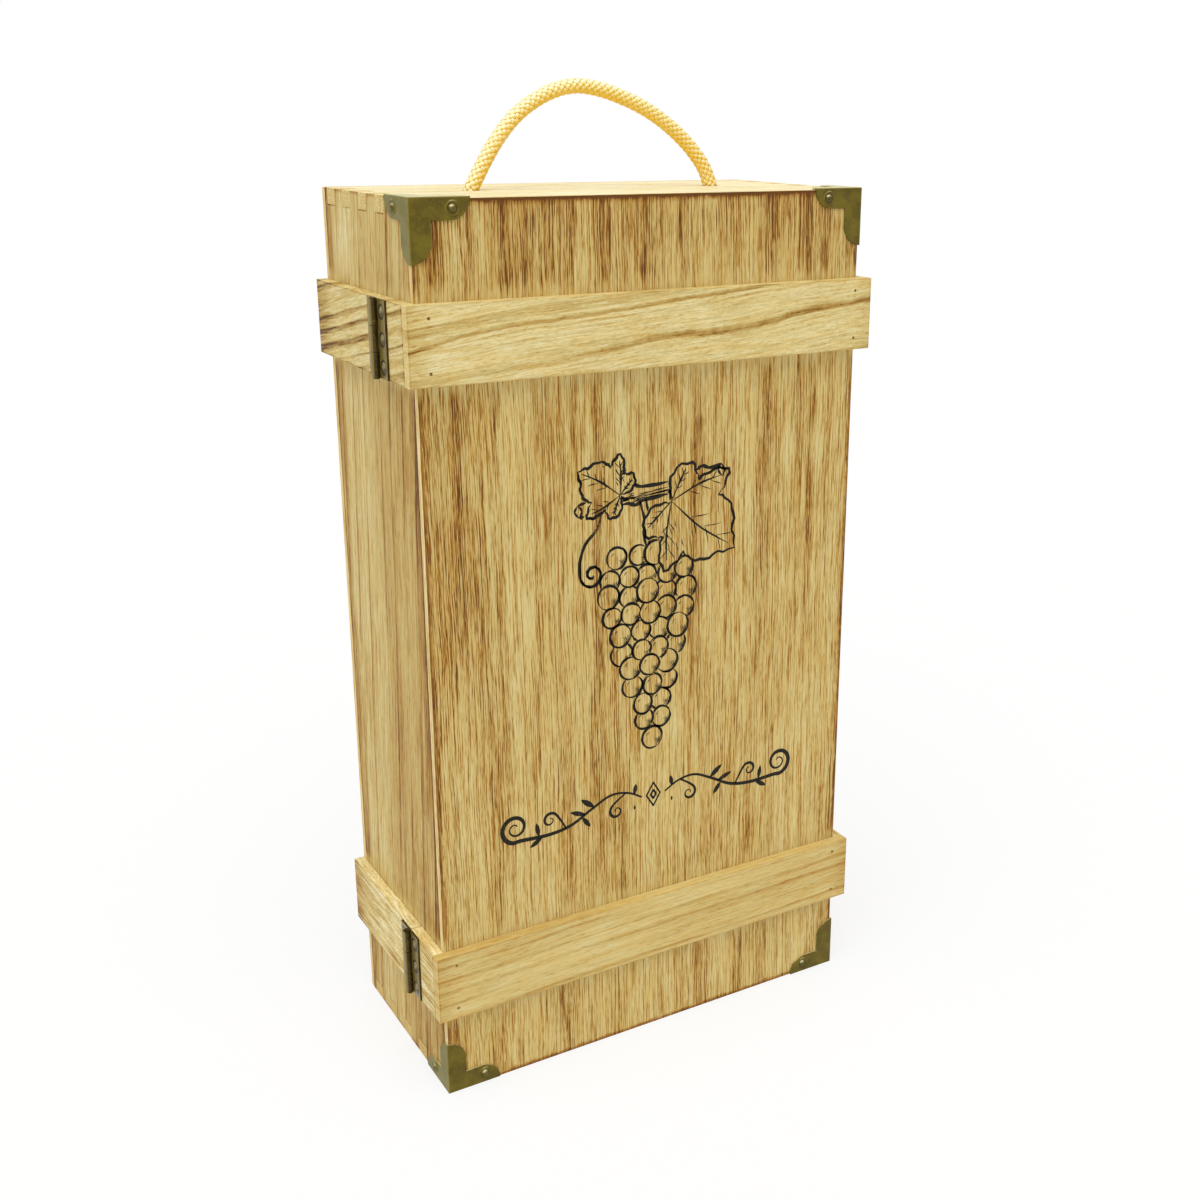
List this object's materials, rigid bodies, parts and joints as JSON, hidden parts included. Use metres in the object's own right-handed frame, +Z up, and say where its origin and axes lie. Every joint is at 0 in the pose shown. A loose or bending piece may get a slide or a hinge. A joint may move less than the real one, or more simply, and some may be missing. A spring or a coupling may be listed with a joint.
{
  "type": "wine box",
  "caption": "Upright wooden wine box for two bottles: finger-jointed case sawn into box and shallow side-hinged lid, wrapped in wooden bands, with brass corners and a rope handle.",
  "frame": {"origin": "middle of the case's underside, midway between its sides and between its front and back panels", "axes": "+X to the right side, +Y to the back panel, +Z up to the rope handle"},
  "size_m": [0.2053, 0.095, 0.3908],
  "materials": {
    "burnt_panel": "scorched and brushed softwood with dark streaks, matt",
    "case_wood": "plain softwood, lightly scorched edges, matt",
    "band_wood": "planed softwood with grey-brown growth lines, matt",
    "old_brass": "antique brass, worn on the edges",
    "bronze": "dark antique bronze",
    "brad_steel": "dull steel",
    "rope": "braided yellow cord with a soft sheen",
    "ink": "matt black print"
  },
  "bodies": {
    "box": {"body_left_side": "case_wood", "body_right_side": "case_wood", "body_top_board": "case_wood", "body_bottom_board": "case_wood", "back_panel": "burnt_panel", "divider": "case_wood", "body_band_upper_left": "band_wood", "body_band_lower_left": "band_wood", "body_band_upper_right": "band_wood", "body_band_lower_right": "band_wood", "hinge_upper_body_leaf": "bronze", "hinge_upper_pin": "bronze", "hinge_lower_body_leaf": "bronze", "hinge_lower_pin": "bronze", "hinge_body_screws": "bronze", "latch_upper_catch": "bronze", "latch_lower_catch": "bronze", "latch_body_screws": "bronze", "rope": "rope", "rope_knot_left": "rope", "rope_knot_right": "rope"},
    "lid": {"front_panel": "burnt_panel", "lid_left_side": "case_wood", "lid_right_side": "case_wood", "lid_top_rail": "case_wood", "lid_bottom_rail": "case_wood", "front_band_upper": "band_wood", "front_band_lower": "band_wood", "lid_band_upper_left": "band_wood", "lid_band_lower_left": "band_wood", "lid_band_upper_right": "band_wood", "lid_band_lower_right": "band_wood", "bracket_top_left": "old_brass", "bracket_top_right": "old_brass", "bracket_bottom_left": "old_brass", "bracket_bottom_right": "old_brass", "bracket_nails": "old_brass", "band_brads": "brad_steel", "hinge_upper_lid_leaf": "bronze", "hinge_lower_lid_leaf": "bronze", "hinge_lid_screws": "bronze", "latch_upper_plate": "bronze", "latch_upper_pin": "bronze", "latch_lower_plate": "bronze", "latch_lower_pin": "bronze", "latch_lid_screws": "bronze"},
    "upper_latch": {"latch_upper_arm": "bronze"},
    "lower_latch": {"latch_lower_arm": "bronze"}
  },
  "joints": [
    {"name": "lid_hinge", "type": "hinge", "parent": "box", "child": "lid", "pos_m": [-0.10075, -0.02225, 0.175], "axis": [0, 0, -1], "range_deg": [0, 180]},
    {"name": "upper_latch_hinge", "type": "hinge", "parent": "lid", "child": "upper_latch", "pos_m": [0.10075, -0.029, 0.3012], "axis": [0, 0, -1], "range_deg": [0, 165]},
    {"name": "lower_latch_hinge", "type": "hinge", "parent": "lid", "child": "lower_latch", "pos_m": [0.10075, -0.029, 0.0502], "axis": [0, 0, -1], "range_deg": [0, 165]}
  ]
}
